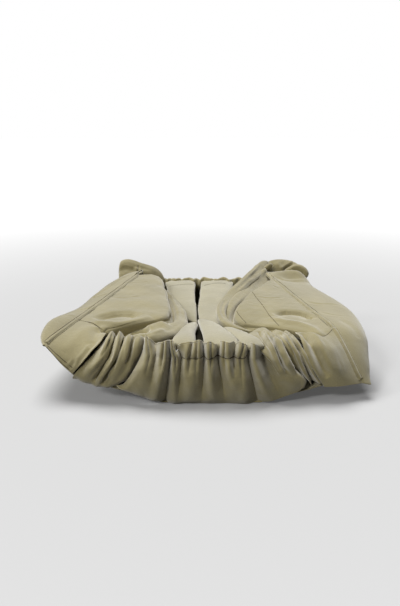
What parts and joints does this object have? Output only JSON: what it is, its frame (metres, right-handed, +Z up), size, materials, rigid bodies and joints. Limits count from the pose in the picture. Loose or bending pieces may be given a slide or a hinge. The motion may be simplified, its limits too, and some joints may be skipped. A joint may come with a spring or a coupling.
{
  "type": "camp pillow",
  "caption": "Low padded camp pillow: an elastic-hemmed cloth cover gathered round a filled bag, its two ends folded inwards as padded flaps that lift.",
  "frame": {"origin": "middle of the pillow's plan, on the surface that the flat middle of the base rests on", "axes": "+X along the pillow to its right end, +Y to the back, +Z up"},
  "size_m": [0.602, 0.478, 0.1698],
  "materials": {
    "cover_cloth": "brushed khaki cotton cloth, soft and matt with a slight sheen",
    "lining_cloth": "the same cloth in a paler face, used for the folds between the flaps",
    "seam_cloth": "felled seam with two rows of matching stitches",
    "bag_cloth": "plain thin down-proof cotton",
    "fibre_fill": "loose white polyester fibre",
    "elastic": "white braided elastic"
  },
  "bodies": {
    "cover": {"base_panel": "cover_cloth", "front_wall": "cover_cloth", "back_wall": "cover_cloth", "front_hem": "cover_cloth", "back_hem": "cover_cloth", "front_elastic": "elastic", "back_elastic": "elastic", "left_end_panel": "cover_cloth", "right_end_panel": "cover_cloth", "left_seam_tape": "seam_cloth", "right_seam_tape": "seam_cloth", "left_corner_panel": "cover_cloth", "right_corner_panel": "cover_cloth", "left_corner_gather": "cover_cloth", "right_corner_gather": "cover_cloth", "left_back_roll": "cover_cloth", "right_back_bunch": "cover_cloth", "left_tuck": "cover_cloth", "right_tuck": "cover_cloth", "left_back_pleat": "lining_cloth", "right_back_pleat": "lining_cloth", "left_front_petal": "lining_cloth", "right_front_petal": "lining_cloth", "inner_bag": "bag_cloth", "core_fill": "fibre_fill"},
    "left_flap": {"left_flap_cover": "cover_cloth", "left_flap_fill": "fibre_fill"},
    "right_flap": {"right_flap_cover": "cover_cloth", "right_flap_fill": "fibre_fill"}
  },
  "joints": [
    {"name": "left_flap_lift", "type": "hinge", "parent": "cover", "child": "left_flap", "pos_m": [-0.21, 0.0359, 0.12903], "axis": [-0.3024, -0.9504, -0.0723], "range_deg": [0, 75]},
    {"name": "right_flap_lift", "type": "hinge", "parent": "cover", "child": "right_flap", "pos_m": [0.2, -0.00499, 0.12592], "axis": [-0.2659, 0.9612, 0.0731], "range_deg": [0, 75]}
  ]
}
